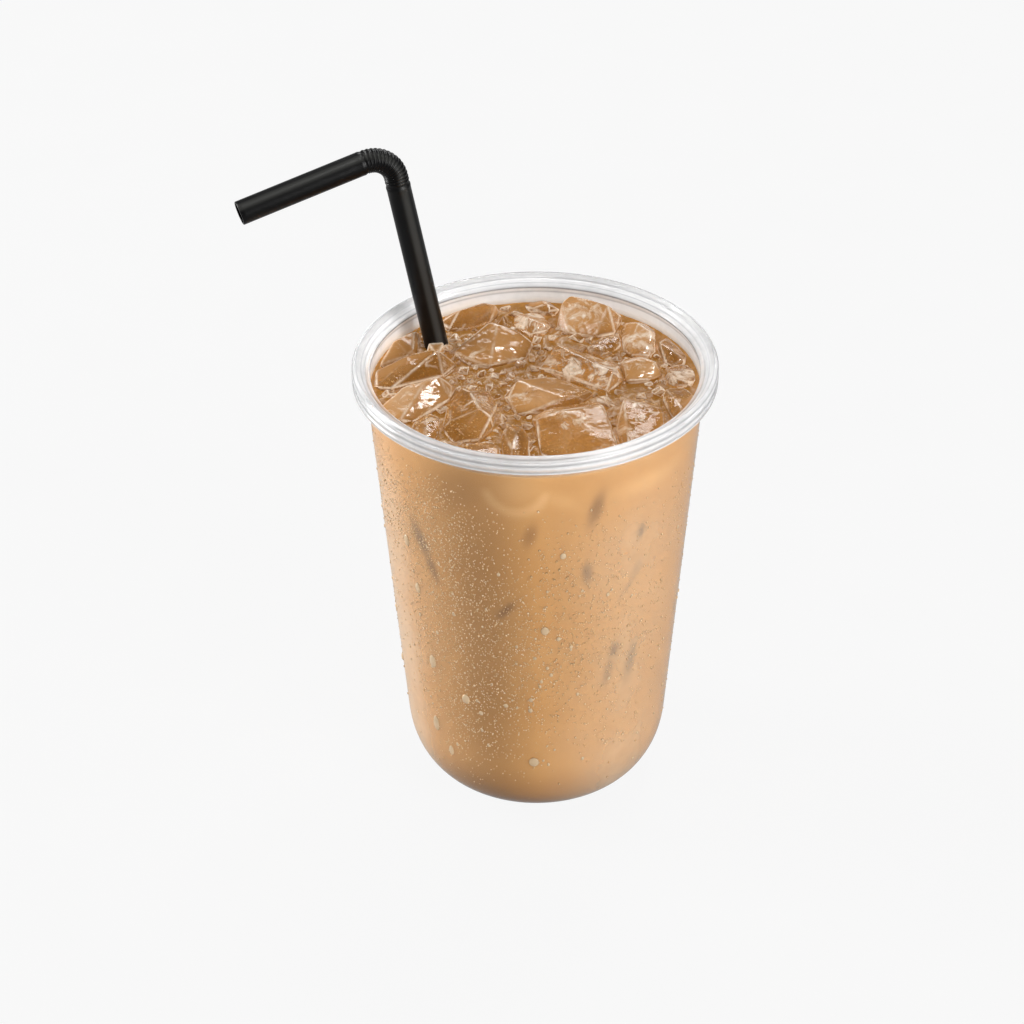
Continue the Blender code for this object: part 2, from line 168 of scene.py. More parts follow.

# Marks in the tea behind the wall, and a painted shade band: azimuth, height, half length, half width, lean in
# degrees, strength, coolness
TEA_MARKS_AND_SHADE = (
    (20.8, 100.4, 5.0, 1.7, -14, 0.715, 0.1), (40.4, 89.1, 2.2, 1.1, -10, 0.975, 0.0),
    (18.5, 81.2, 3.2, 1.3, 6, 0.975, 0.5), (40.0, 78.0, 3.0, 1.1, -22, 0.52, 0.6),
    (36.5, 73.5, 4.2, 0.8, -38, 0.455, 0.5), (-12.1, 70.4, 3.8, 1.2, -40, 1.0, 0.4),
    (31.9, 54.4, 2.6, 1.5, -10, 0.91, 0.0), (29.5, 47.5, 4.2, 1.5, -14, 0.585, 0.2),
    (40.7, 48.7, 6.2, 1.6, -8, 0.78, 0.7), (-47.0, 85.0, 5.0, 1.9, 24, 0.975, 0.7),
    (-42.5, 78.0, 4.4, 1.5, 22, 0.78, 0.7), (-2.5, 94.2, 3.6, 1.6, -16, 0.455, 0.0),
    # painted shade on the next line: the darker band left of the front, under the rim and down the wall
    (-26.0, 105.0, 8.0, 9.0, 30, 0.338, 0.0), (-20.0, 70.0, 60.0, 7.5, 0, 0.312, 0.0),
    (128.0, 84.0, 4.5, 1.3, 20, 0.78, 0.4), (152.0, 61.0, 3.5, 1.2, -24, 0.91, 0.2),
    (-158.0, 92.0, 4.0, 1.5, -10, 0.65, 0.5), (-118.0, 58.0, 4.8, 1.3, 14, 0.78, 0.3),
    (-96.0, 97.0, 3.2, 1.2, 30, 0.65, 0.2), (96.0, 47.0, 3.6, 1.3, -12, 0.65, 0.6),
    (178.0, 40.0, 3.0, 1.4, 12, 0.65, 0.1),
)
# Pale places in the tea: azimuth, height, half length, half width, lean, strength
TEA_PALES = (
    (42.0, 103.5, 3.0, 9.0, 0, 0.55), (-7.0, 108.0, 4.0, 5.5, 0, 0.35), (8.0, 104.5, 2.0, 5.0, -30, 0.35),
    (-62.0, 100.0, 9.0, 4.0, 0, 0.25), (140.0, 101.0, 3.0, 10.0, 0, 0.4), (-130.0, 104.0, 2.5, 8.0, 0, 0.4),
)
TEA_ARC = (-7.3, 108.2, 7.0, 1.5, 0.75)  # azimuth, height, radius, half width, strength of a pale half ring
TEA_ARC_WALL_R = 39.0

# Condensation: azimuth, height, spread in azimuth, spread in height, how many
MIST = (
    (-45, 92, 12, 9, 1300), (-33, 84, 9, 12, 700), (-38, 66, 11, 12, 900), (-36, 47, 12, 10, 760),
    (-30, 30, 10, 9, 460), (-10, 66, 9, 14, 560), (2, 66, 9, 12, 340), (-8, 45, 10, 12, 380),
    (8, 88, 9, 8, 150), (24, 72, 10, 10, 260), (27, 92, 8, 5, 80), (60, 88, 7, 6, 90),
    (40, 60, 12, 9, 200), (14, 52, 12, 13, 340), (30, 36, 14, 9, 180), (-68, 90, 8, 12, 90),
    (100, 70, 22, 26, 420), (150, 62, 24, 26, 480), (-160, 66, 24, 26, 480), (-110, 66, 22, 26, 480),
)
MIST_LOW, MIST_HIGH = 0.11, 0.25
MIST_APART = 0.62
MIST_TOP_Z = 108.0
MIST_TOP_FRONT_Z = 102.0  # lower where the rim shades the front
MIST_FRONT = (-24, 60)
# Mist too fine to see as drops, its white share also a painted sheen where the softboxes reflect: azimuth, share of
# white
HAZE_AND_SHEEN = ((-180, 0.16), (-120, 0.20), (-80, 0.46), (-62, 0.46), (-50, 0.16), (-36, 0.06), (-18, 0.0), (0, 0.0),
        (13, 0.11), (26, 0.27), (36, 0.33), (48, 0.30), (70, 0.12), (110, 0.14), (180, 0.16))
HAZE_TOP_Z, HAZE_FADE, HAZE_LEAST = 112.0, 24.0, 0.3  # it thins out over the fade up to the top
# Larger drops: azimuth, height, radius, length as a multiple of it
DROPS = (
    (-46.9, 46.9, 1.15, 1.75), (-30.7, 39.2, 1.15, 1.3), (-1.7, 21.8, 1.30, 1.15), (2.8, 64.8, 1.05, 1.25),
    (9.1, 87.9, 0.80, 1.2), (-2.7, 42.5, 0.55, 1.3), (-55.2, 81.9, 1.1, 1.6), (-51.4, 68.5, 0.9, 1.8),
    (-49.0, 26.0, 1.1, 2.2), (-41.0, 19.5, 0.8, 2.0), (-13.0, 40.0, 0.6, 1.1), (-3.0, 39.0, 0.6, 1.2),
    (8.0, 62.0, 0.6, 1.1), (-24.0, 36.0, 0.6, 1.2), (13.0, 59.0, 0.5, 1.1), (118.0, 52.0, 1.1, 1.5),
    (142.0, 78.0, 0.9, 1.3), (163.0, 34.0, 1.2, 1.4), (-170.0, 58.0, 1.0, 1.7), (-148.0, 81.0, 0.8, 1.2),
    (-124.0, 43.0, 1.1, 1.5), (-98.0, 66.0, 0.9, 1.6), (92.0, 84.0, 0.8, 1.3), (-83.0, 34.0, 0.8, 1.5),
)
SMALL_DROPS = 150
DROP_SEED = 21
DOME_SUNK = 0.12  # how far a dome's foot lies in what carries it, as a share of its radius

# Bubbles between the ice: x, y, spread, how many
BUBBLES = (
    (-27, -14, 4.0, 120), (-22, -20, 4.0, 140), (-14, -28, 4.0, 120), (-7, -12, 2.5, 120), (-5, -20, 2.5, 100),
    (-13, 0, 3.0, 100), (-16, 4, 2.5, 80), (-21, 21, 3.0, 100), (16, 13, 3.5, 100), (20, 24, 3.0, 40),
    (31, -8, 4.0, 120), (22, -6, 4.0, 80), (0, -32, 5.0, 100), (-34, -1, 2.0, 50), (30, 10, 3.0, 60),
    (12, -8, 3.0, 60), (5, 18, 4.0, 60), (-6, 34, 4.0, 40), (-24, 10, 3.0, 60),
)
BUBBLE_LOW, BUBBLE_HIGH = 0.07, 0.24
BUBBLE_REACH = 39.4  # furthest from the cup's axis
BUBBLE_SEED = 8

# Colours, linear
WHITE = (0.80, 0.80, 0.80)
TEA_TAN = (0.605, 0.330, 0.117)
TEA_PALE = (0.78, 0.49, 0.23)
# painted shade: darker towards the tea's foot
TEA_FOOT_SHADE = (0.27, 0.10, 0.022)
TEA_GREY = (0.21, 0.135, 0.09)
# the marks' brown, also the painted shade of the darker band left of the front
MARK_AND_SHADE_BROWN = (0.19, 0.088, 0.034)
TEA_TOP = (0.34, 0.162, 0.038)
# the open tea's brown, with painted shade in the folds' troughs
TOP_BROWN = (0.23, 0.098, 0.016)
# painted highlight: pale lines on the crests of the tea's folds
CREST_HIGHLIGHT = (0.93, 0.86, 0.76)
ICE_TAN = (0.54, 0.285, 0.105)
# also the painted shade where each piece meets the tea
ICE_BROWN = (0.25, 0.105, 0.018)
ICE_PALE = (0.80, 0.56, 0.36)
# white of the frost, also of the painted highlight along the ice's edges
ICE_WHITE = (0.95, 0.86, 0.72)
CREAM = (0.92, 0.75, 0.54)
# painted shade: the darkening and dark contact line at the cup's foot
FOOT_SHADE_BROWN = (0.10, 0.046, 0.014)
# painted shade: the dark outline at a drop's foot
DROP_EDGE_SHADE = (0.40, 0.235, 0.10)
MIST_TAN = (0.66, 0.43, 0.21)
MIST_PALE = (0.92, 0.74, 0.50)
# painted light: the cream glow of the light each drop focuses
DROP_GLOW_CREAM = (0.94, 0.74, 0.49)
DROP_GLOW_SHARE = 0.62  # share of the painted cream glow
BUBBLE_TAN = (0.80, 0.52, 0.24)
BUBBLE_MILK = 0.5
# painted shade: the grey of the rim's dark lines
RIM_SHADE_GREY = (0.16, 0.165, 0.175)
BLACK = (0.002, 0.002, 0.0022)
BLACK_WORN = (0.003, 0.003, 0.0034)

# Studio
FLOOR_GLOW = 0.912
FLOOR_LIGHT = 0.42
WORLD_LIGHT = 0.22
BACKGROUND = 0.93
# Softboxes: name, azimuth, elevation, distance in metres, width, height, power in watts
SOFTBOXES = (
    ("left", -104, 18, 0.85, 0.35, 0.7, 7.6),
    ("right", 44, 20, 0.95, 0.4, 0.6, 6.4),
    ("rear", 176, 38, 0.95, 0.5, 0.2, 2.4),
    ("glint", 150, 60, 0.9, 0.10, 0.10, 1.6),
    ("top", 10, 82, 1.0, 0.22, 0.22, 1.2),
)
STUDIO_AIM = (0.0, 0.0, 0.07)  # in metres
FLOOR_HALF = 4000.0


# ---------- shapes

def outside_radius(z):
    """The cup's outside radius below the rim: a tapered wall drawn in to a rounded foot."""
    radius = WALL_TOP_R - (WALL_TOP_Z - z) * math.tan(math.radians(WALL_TAPER_DEG))
    if z < FOOT_H:
        u = min(1.0, (FOOT_H - z) / FOOT_H)
        radius -= FOOT_IN * (1 - (1 - u**FOOT_POWER) ** (1 / FOOT_POWER))
    return radius


def wall_normal(z):
    """(radial, upward) parts of the outside wall's normal."""
    low, high = max(z - 0.05, 0.0), z + 0.05
    run, rise = outside_radius(high) - outside_radius(low), high - low
    length = math.hypot(run, rise)
    return rise / length, -run / length


def wall_line(inset, levels):
    """(radius, height) points on the wall, drawn in square to it."""
    points = []
    for z in levels:
        across, up = wall_normal(z)
        points.append((outside_radius(z) - inset * across, z - inset * up))
    return points


def wall_levels(wall_rows, top):
    foot = FOOT_H * (1 - np.cos(np.linspace(0, math.pi / 2, FOOT_ROWS)))
    return [*foot, *np.linspace(FOOT_H, top, wall_rows + 1)[1:]]


def smooth_line(points, steps):
    """A Catmull-Rom curve through points."""
    p = np.array([points[0], *points, points[-1]], float)
    line = []
    for i in range(1, len(p) - 2):
        for t in np.arange(steps) / steps:
            a, b, c, d = p[i - 1:i + 3]
            line.append(0.5 * (2 * b + (c - a) * t + (2 * a - 5 * b + 4 * c - d) * t**2
                               + (3 * b - a - 3 * c + d) * t**3))
    return [*line, p[-2]]


def ring_faces(rows, columns, first=0, flip=False):
    """Quads between neighbouring rings of columns points each."""
    faces = []
    for k in range(rows - 1):
        a, b = first + k * columns, first + (k + 1) * columns
        for i in range(columns):
            j = (i + 1) % columns
            quad = (a + i, a + j, b + j, b + i)
            faces.append(quad[::-1] if flip else quad)
    return faces


def lathe(profile, segments):
    """Points and faces of a closed turned body, from (radius, height) points that run up its outer side."""
    turns = np.arange(segments) * math.tau / segments
    rings = [np.stack([r * np.cos(turns), r * np.sin(turns), np.full(segments, z)], axis=1)
             for r, z in profile[1:-1]]
    points = np.vstack([*rings, [[0, 0, profile[0][1]]], [[0, 0, profile[-1][1]]]])
    faces = ring_faces(len(rings), segments)
    start, end, last = len(points) - 2, len(points) - 1, (len(rings) - 1) * segments
    for i in range(segments):
        j = (i + 1) % segments
        faces.append((start, j, i))
        faces.append((end, last + i, last + j))
    return points, faces


def new_object(name, data):
    obj = bpy.data.objects.new(name, data)
    bpy.context.scene.collection.objects.link(obj)
    return obj


def mesh_object(name, points, faces, surface, smooth=True, values=None):
    mesh = bpy.data.meshes.new(name)
    mesh.from_pydata((np.asarray(points, float) * MM).tolist(), [], faces)
    if smooth:
        mesh.shade_smooth()
    for key, data in (values or {}).items():
        layer = mesh.attributes.new(key, "FLOAT", "POINT")
        layer.data.foreach_set("value", np.asarray(data, np.float32))
    mesh.materials.append(surface)
    mesh.update()
    return new_object(name, mesh)


def waves(points, length, count, rng):
    """Smooth noise between about -1 and 1: a sum of plane waves in random directions."""
    total = np.zeros(len(points))
    for _ in range(count):
        way = rng.normal(size=3)
        way *= math.tau / (length * rng.uniform(0.7, 1.4)) / np.linalg.norm(way)
        total += np.sin(points @ way + rng.uniform(0, math.tau))
    return total / math.sqrt(count)


def creases(points, length, count, rng):
    """1 along thin winding lines, falling to 0 between them."""
    return 1 - np.abs(waves(points, length, count, rng)).clip(0, 1)


# ---------- materials

def add(tree, kind, inputs=None, **settings):
    """A shader node. Its inputs are numbers, colours or other nodes' outputs."""
    node = tree.nodes.new("ShaderNode" + kind)
    for key, value in settings.items():
        setattr(node, key, value)
    for key, value in (inputs or {}).items():
        if isinstance(value, bpy.types.NodeSocket):
            tree.links.new(value, node.inputs[key])
        elif isinstance(value, tuple) and len(value) == 3 and node.inputs[key].type == "RGBA":
            node.inputs[key].default_value = (*value, 1.0)
        else:
            node.inputs[key].default_value = value
    return node


def new_material(name):
    made = bpy.data.materials.new(name)
    made.use_nodes = True
    made.node_tree.nodes.clear()
    return made, made.node_tree


def output(tree, shader):
    add(tree, "OutputMaterial", {"Surface": shader})


def place(tree):
    """The point in the object's own axes, in metres."""
    return add(tree, "TexCoord").outputs["Object"]


def noise(tree, scale, detail=3.0, rough=0.5, at=None, distortion=0.0):
    inputs = {"Vector": at or place(tree), "Scale": scale, "Detail": detail, "Roughness": rough,
              "Distortion": distortion}
    return add(tree, "TexNoise", inputs).outputs["Fac"]


def between(tree, value, low, high, to_low=0.0, to_high=1.0):
    """value mapped from low..high to to_low..to_high, and held there outside."""
    inputs = {"Value": value, "From Min": low, "From Max": high, "To Min": to_low, "To Max": to_high}
    return add(tree, "MapRange", inputs, interpolation_type="SMOOTHSTEP").outputs["Result"]


def math_node(tree, operation, a, b):
    return add(tree, "Math", {0: a, 1: b}, operation=operation).outputs[0]


def times(tree, a, b):
    return math_node(tree, "MULTIPLY", a, b)


def plus(tree, a, b):
    return math_node(tree, "ADD", a, b)


def principled(tree, colour, rough, more=None):
    inputs = {"Base Color": colour, "Roughness": rough, **(more or {})}
    return add(tree, "BsdfPrincipled", inputs).outputs[0]


def blend_colour(tree, share, a, b):
    node = add(tree, "Mix", data_type="RGBA")
    for socket, value in ((node.inputs[0], share), (node.inputs[6], a), (node.inputs[7], b)):
        if isinstance(value, bpy.types.NodeSocket):
            tree.links.new(value, socket)
        else:
            socket.default_value = (*value, 1.0) if isinstance(value, tuple) else value
    return node.outputs[2]


def attribute(tree, name):
    return add(tree, "Attribute", attribute_name=name).outputs["Fac"]


def bump(tree, height, distance, strength=1.0):
    return add(tree, "Bump", {"Height": height, "Distance": distance, "Strength": strength}).outputs["Normal"]


def mix_shader(tree, share, a, b):
    return add(tree, "MixShader", {0: share, 1: a, 2: b}).outputs[0]


def lets_light_through(tree, shader, tint):
    """Shadow rays pass a clear piece, so what lies inside it is lit."""
    clear = add(tree, "BsdfTransparent", {"Color": tint}).outputs[0]
    shadow = add(tree, "LightPath").outputs["Is Shadow Ray"]
    return mix_shader(tree, shadow, shader, clear)


def cup_material():
    made, tree = new_material("clear_cup_plastic")
    ripple = noise(tree, 140.0, 2.0)
    grain = noise(tree, 2600.0, 2.0)
    relief = plus(tree, ripple, times(tree, grain, 0.12))
    normal = bump(tree, relief, 0.00006, 0.6)
    clear = principled(tree, (0.985, 0.99, 0.995), between(tree, grain, 0.3, 0.7, 0.02, 0.07), {
        "IOR": 1.45, "Transmission Weight": 1.0, "Normal": normal})
    cloud = between(tree, noise(tree, 55.0, 4.0, 0.6), 0.25, 0.75, 0.75, 1.25)
    milky = blend_colour(tree, attribute(tree, "cream"), WHITE, CREAM)
    # a white veil that is partly mist and partly a painted sheen of the softboxes
    haze_and_sheen = principled(tree, milky, 0.35, {"Normal": normal})
    share = times(tree, attribute(tree, "haze_and_sheen"), cloud)
    body = mix_shader(tree, share, clear, haze_and_sheen)
    # painted shade: grey lines on the rim that stand in for its dark refraction
    line = principled(tree, RIM_SHADE_GREY, 0.2)
    body = mix_shader(tree, attribute(tree, "line"), body, line)
    # painted shade: darker towards the floor, with a dark contact line at the foot
    foot = principled(tree, FOOT_SHADE_BROWN, 0.25)
    body = mix_shader(tree, attribute(tree, "foot"), body, foot)
    output(tree, lets_light_through(tree, body, (0.96, 0.96, 0.96)))
    return made


def tea_material():
    made, tree = new_material("milk_tea_surface")
    at = place(tree)
    cloud = between(tree, noise(tree, 34.0, 4.0, 0.55, at, 0.6), 0.3, 0.72)
    colour = blend_colour(tree, times(tree, cloud, 0.16), TEA_TAN, TEA_PALE)
    # deep is painted shade towards the tea's foot; mark also holds a painted shade band
    for name, over in (("pale", TEA_PALE), ("mark_and_shade", MARK_AND_SHADE_BROWN), ("cool", TEA_GREY), ("deep", TEA_FOOT_SHADE)):
        colour = blend_colour(tree, attribute(tree, name), colour, over)
    streak = between(tree, noise(tree, 320.0, 4.0, 0.6, at, 1.2), 0.45, 0.7)
    top_colour = blend_colour(tree, times(tree, streak, 0.08), TEA_TOP, TEA_PALE)
    # brown holds painted shade in the folds' troughs; crest is a painted highlight
    for name, over in (("brown", TOP_BROWN), ("crest", CREST_HIGHLIGHT)):
        top_colour = blend_colour(tree, attribute(tree, name), top_colour, over)
    top = attribute(tree, "top")
    colour = blend_colour(tree, top, colour, top_colour)
    ripple = plus(tree, noise(tree, 260.0, 3.0, 0.5, at, 0.8), times(tree, noise(tree, 1300.0, 2.0), 0.25))
    normal = bump(tree, times(tree, ripple, top), 0.0007)
    output(tree, principled(tree, colour, between(tree, top, 0.0, 1.0, 0.5, 0.06), {
        "IOR": 1.34, "Specular IOR Level": 0.3, "Normal": normal}))
    return made


def ice_material():
    made, tree = new_material("melting_ice")
    at = place(tree)
    fine = noise(tree, 1100.0, 3.0, 0.6, at)
    wavy = noise(tree, 220.0, 2.0, 0.5, at, 0.3)
    relief = plus(tree, wavy, times(tree, fine, 0.08))
    normal = bump(tree, relief, 0.00032)
    clear = principled(tree, (0.97, 0.92, 0.85), 0.03, {"IOR": 1.31, "Transmission Weight": 1.0, "Normal": normal})
    brown = blend_colour(tree, attribute(tree, "brown"), ICE_TAN, ICE_BROWN)
    brown = blend_colour(tree, attribute(tree, "pale"), brown, ICE_PALE)
    film = principled(tree, brown, 0.07, {"IOR": 1.33, "Transmission Weight": 0.2, "Normal": normal})
    patch = noise(tree, 90.0, 4.0, 0.6, at, 1.0)
    film_share = between(tree, plus(tree, patch, attribute(tree, "film")), 0.65, 1.2, 0.1, 0.9)
    body = mix_shader(tree, film_share, clear, film)
    pits = between(tree, add(tree, "TexVoronoi", {"Vector": at, "Scale": 900.0}).outputs["Distance"], 0.2, 0.45)
    white = blend_colour(tree, times(tree, pits, 0.3), ICE_WHITE, ICE_TAN)
    frost_and_edge_highlight = principled(tree, white, 0.12, {"IOR": 1.31, "Transmission Weight": 0.25, "Normal": normal})
    streak = between(tree, noise(tree, 240.0, 6.0, 0.68, at, 0.9), 0.34, 0.68)
    frost_share = between(tree, plus(tree, streak, attribute(tree, "frost")), 0.78, 1.6, 0.0, 0.95)
    broken = between(tree, noise(tree, 170.0, 3.0, 0.6, at), 0.36, 0.60, 0.2, 1.0)
    # painted highlight: pale lines along the ice's edges
    edge_highlight_share = times(tree, attribute(tree, "edge"), broken)
    body = mix_shader(tree, math_node(tree, "MAXIMUM", frost_share, edge_highlight_share), body, frost_and_edge_highlight)
    output(tree, lets_light_through(tree, body, (0.97, 0.94, 0.90)))
    return made


def water_material(name, pale_share, tint):
    """Clear water with a share of a pale colour: on the drops a painted glow of the light they focus, on the bubbles
    their milky film.
    """
    made, tree = new_material(name)
    clear = principled(tree, (1.0, 0.99, 0.97), 0.02, {"IOR": 1.33, "Transmission Weight": 1.0})
    spread = between(tree, noise(tree, 300.0, 1.0), 0.3, 0.7, pale_share * 0.9, pale_share * 1.1)
    # painted light on the drops: a cream glow of the light each one focuses; on the bubbles, their film
    white = principled(tree, tint, 0.1)
    body = mix_shader(tree, spread, clear, white)
    # painted shade: a dark outline at each dome's foot
    edge = principled(tree, DROP_EDGE_SHADE, 0.1)
    body = mix_shader(tree, times(tree, attribute(tree, "rim"), 0.85), body, edge)
    output(tree, lets_light_through(tree, body, (0.97, 0.97, 0.97)))
    return made


def mist_material():
    """Fine drops on the wall: the tea's light scattered, with a wet shine."""
    made, tree = new_material("mist_drops")
    tone = between(tree, noise(tree, 700.0, 2.0), 0.3, 0.7)
    colour = blend_colour(tree, tone, MIST_TAN, MIST_PALE)
    # painted shade: a dark outline at each drop's foot
    colour = blend_colour(tree, attribute(tree, "rim"), colour, DROP_EDGE_SHADE)
    shader = principled(tree, colour, between(tree, tone, 0.0, 1.0, 0.1, 0.16), {"IOR": 1.5})
    output(tree, lets_light_through(tree, shader, (0.97, 0.97, 0.97)))
    return made


def straw_material():
    made, tree = new_material("black_straw_plastic")
    at = place(tree)
    grain = noise(tree, 900.0, 3.0, 0.6, at)
    streaks = noise(tree, 60.0, 3.0, 0.6, at)
    colour = blend_colour(tree, between(tree, streaks, 0.3, 0.8), BLACK, BLACK_WORN)
    # painted sheen: a dull grey highlight band round each leg
    band = times(tree, attribute(tree, "sheen"), between(tree, streaks, 0.2, 0.8, 0.8, 1.0))
    colour = blend_colour(tree, band, colour, STRAW_SHEEN)
    output(tree, principled(tree, colour, between(tree, grain, 0.3, 0.7, 0.28, 0.33), {
        "Specular IOR Level": 0.2, "Normal": bump(tree, streaks, 0.00008, 0.4)}))
    return made


def floor_material():
    made, tree = new_material("pale_floor")
    speck = between(tree, noise(tree, 40.0, 2.0), 0.2, 0.8, 0.022, 0.025)
    grey = add(tree, "CombineColor", {0: speck, 1: speck, 2: speck}).outputs[0]
    matt = add(tree, "BsdfDiffuse", {"Color": grey}).outputs[0]
    seen = add(tree, "LightPath").outputs["Is Camera Ray"]
    strength = between(tree, seen, 0.0, 1.0, FLOOR_LIGHT, FLOOR_GLOW)
    glow = add(tree, "Emission", {"Color": (1.0, 1.0, 1.0), "Strength": strength}).outputs[0]
    output(tree, add(tree, "AddShader", {0: matt, 1: glow}).outputs[0])
    return made


# ---------- cup

def gauss(x, middle, width):
    return np.exp(-((x - middle) / width) ** 2)


def azimuths(points):
    return np.degrees(np.arctan2(points[:, 0], -points[:, 1]))


def wall_haze_and_sheen(azimuth, z):
    """How misted the wall is, with painted sheen: most at the sides, where the softboxes reflect, less in the band
    left of the front.
    """
    at, share = np.array(HAZE_AND_SHEEN).T
    return np.interp(azimuth, at, share) * np.clip((HAZE_TOP_Z - z) / HAZE_FADE, HAZE_LEAST, 1.0)


def make_cup(surface):
    levels = wall_levels(CUP_WALL_ROWS, WALL_TOP_Z)
    outer = wall_line(0.0, levels)
    inner = [p for p in wall_line(WALL_T, levels) if p[1] > BASE_T + 0.2]
    rim = smooth_line([outer[-1], *RIM[::-1], inner[-1]], 5)
    rim = [(min(r, CUP_TOP_R), min(z, CUP_TOP_Z)) for r, z in rim]
    profile = [(0.0, 0.0), *outer[:-1], *rim, *inner[-2::-1], (inner[0][0] - 2.0, BASE_T), (0.0, BASE_T)]
    points, faces = lathe(profile, CUP_SEGMENTS)
    z, azimuth, r = points[:, 2], azimuths(points), np.hypot(points[:, 0], points[:, 1])
    # mist with a painted sheen on the wall; the rim and inner wall are milky plastic
    haze_and_sheen = wall_haze_and_sheen(azimuth, z)
    haze_and_sheen = np.where(z > RIM_FROM_Z, RIM_HAZE, haze_and_sheen)
    haze_and_sheen = np.where((z > INNER_WALL_FROM_Z) & (z <= INNER_WALL_TO_Z) & (r < INNER_WALL_R), INNER_WALL_HAZE, haze_and_sheen)
    # painted shade: grey lines where the rim's grooves refract dark
    line = np.zeros(len(points))
    for shade_line_r, shade_line_z, width, strength in RIM_SHADE_LINES:
        line += strength * np.exp(-((r - shade_line_r) ** 2 + (z - shade_line_z) ** 2) / width**2)
    # painted shade: darker towards the floor, with a dark contact line at the foot
    foot = (0.9 * np.exp(-(z / 1.0) ** 2) + 0.65 * np.exp(-(z / 4.0) ** 2)).clip(0, 0.95) * (r > 14.0)
    cream = np.clip((LEVEL - z) / 2.0, 0, 1)
    values = {"haze_and_sheen": haze_and_sheen, "line": np.clip(line, 0, 0.9), "cream": cream, "foot": foot}
    return mesh_object("cup_clear", points, faces, surface, values=values)


# ---------- tea

def outline_of(node):
    """The outline seen from above of a node's part near the drink's surface, anticlockwise, in mm."""
    points = [Vector((v.co.x / MM, v.co.y / MM)) for v in node.data.vertices if v.co.z > (LEVEL - 3.5) * MM]
    return np.array([tuple(points[i]) for i in convex_order(points)])


def convex_order(points):
    """The indices of the points on their convex outline, anticlockwise."""
    order = sorted(range(len(points)), key=lambda i: (round(points[i].x, 5), round(points[i].y, 5)))
    sides = []
    for row in (order, order[::-1]):
        side = []
        for i in row:
            p = points[i]
            while len(side) > 1:
                a, b = points[side[-2]], points[side[-1]]
                if (b.x - a.x) * (p.y - a.y) - (b.y - a.y) * (p.x - a.x) > 1e-6:
                    break
                side.pop()
            side.append(i)
        sides += side[:-1]
    return sides


def distance_outside(xy, outline):
    """How far each point lies outside a convex outline, negative inside."""
    best = np.full(len(xy), -1e9)
    for a, b in zip(outline, np.roll(outline, -1, axis=0)):
        along = (b - a) / np.linalg.norm(b - a)
        best = np.maximum(best, (xy - a) @ np.array([along[1], -along[0]]))
    return best


def tea_surface(xy, outlines):
    """The drink's surface: height, brownness with painted fold shade, and crests with a painted highlight. It climbs
    at ice and wall and is hollow under ice.
    """
    rng = np.random.default_rng(3)
    flat = np.column_stack([xy, np.zeros(len(xy))])
    nearest = np.min([distance_outside(xy, o) for o in outlines], axis=0)
    open_tea = np.clip((nearest - 0.3) / 1.2, 0, 1)
    r = np.hypot(xy[:, 0], xy[:, 1])
    open_tea *= np.clip((39.8 - r) / 2.0, 0, 1)
    bent = flat + 1.6 * np.stack([waves(flat, FOLD_LENGTH, 6, rng) for _ in range(3)], axis=1)
    fold = creases(bent, FOLD_LENGTH, 9, rng)
    z = LEVEL - TEA_SUNK + FOLD_RISE * fold**2 * open_tea + 0.07 * waves(flat, 2.2, 9, rng)
    z += CLIMB_AT_ICE * np.exp(-np.clip(nearest, 0, None) / 0.7)
    wall_r = outside_radius(LEVEL) - WALL_T
    z += CLIMB_AT_WALL * np.exp(-(wall_r - r).clip(0) / 0.6)
    inside = np.clip(-nearest - 0.35, 0, None)
    depth = POCKET_DEPTH * (1 - np.exp(-inside / POCKET_SLOPE))
    # painted highlight: a pale line on each fold's crest
    crest = fold**14 * open_tea
    # browner in the open tea between the pieces; less on the folds' crests, painted light and shade of the folds
    brown = 0.08 + 0.62 * np.clip(nearest / 0.8 + 0.6, 0, 1) * (1 - 0.9 * fold**3)
    return z - depth, brown, crest


def square_to_disc(cells):
    """Points of a square grid wrapped evenly to the unit disc, row by row."""
    steps = np.linspace(-1, 1, cells + 1)
    u, v = np.meshgrid(steps, steps)
    wide = np.abs(u) > np.abs(v)
    safe_u, safe_v = np.where(u == 0, 1, u), np.where(v == 0, 1, v)
    angle = np.where(wide, math.pi / 4 * v / safe_u, math.pi / 2 - math.pi / 4 * u / safe_v)
    r = np.where(wide, u, v)
    return np.stack([(r * np.cos(angle)).ravel(), (r * np.sin(angle)).ravel()], axis=1)


def border_order(cells):
    """Indices of the grid's border, anticlockwise from its first corner."""
    n = cells + 1
    return [*range(cells), *(i * n + cells for i in range(cells)),
            *(cells * n + cells - i for i in range(cells)), *((cells - i) * n for i in range(cells))]


def spot(azimuth, z, row):
    """A soft oval on the wall: 1 at its middle."""
    at, height, length, width, lean = row[:5]
    along = (azimuth - at + 180) % 360 - 180
    side = np.radians(along) * WALL_MEAN_R
    up = z - height
    c, s = math.cos(math.radians(lean)), math.sin(math.radians(lean))
    a, b = up * c - side * s, up * s + side * c
    return np.exp(-((a / length) ** 2 + (b / width) ** 2) ** 1.3)


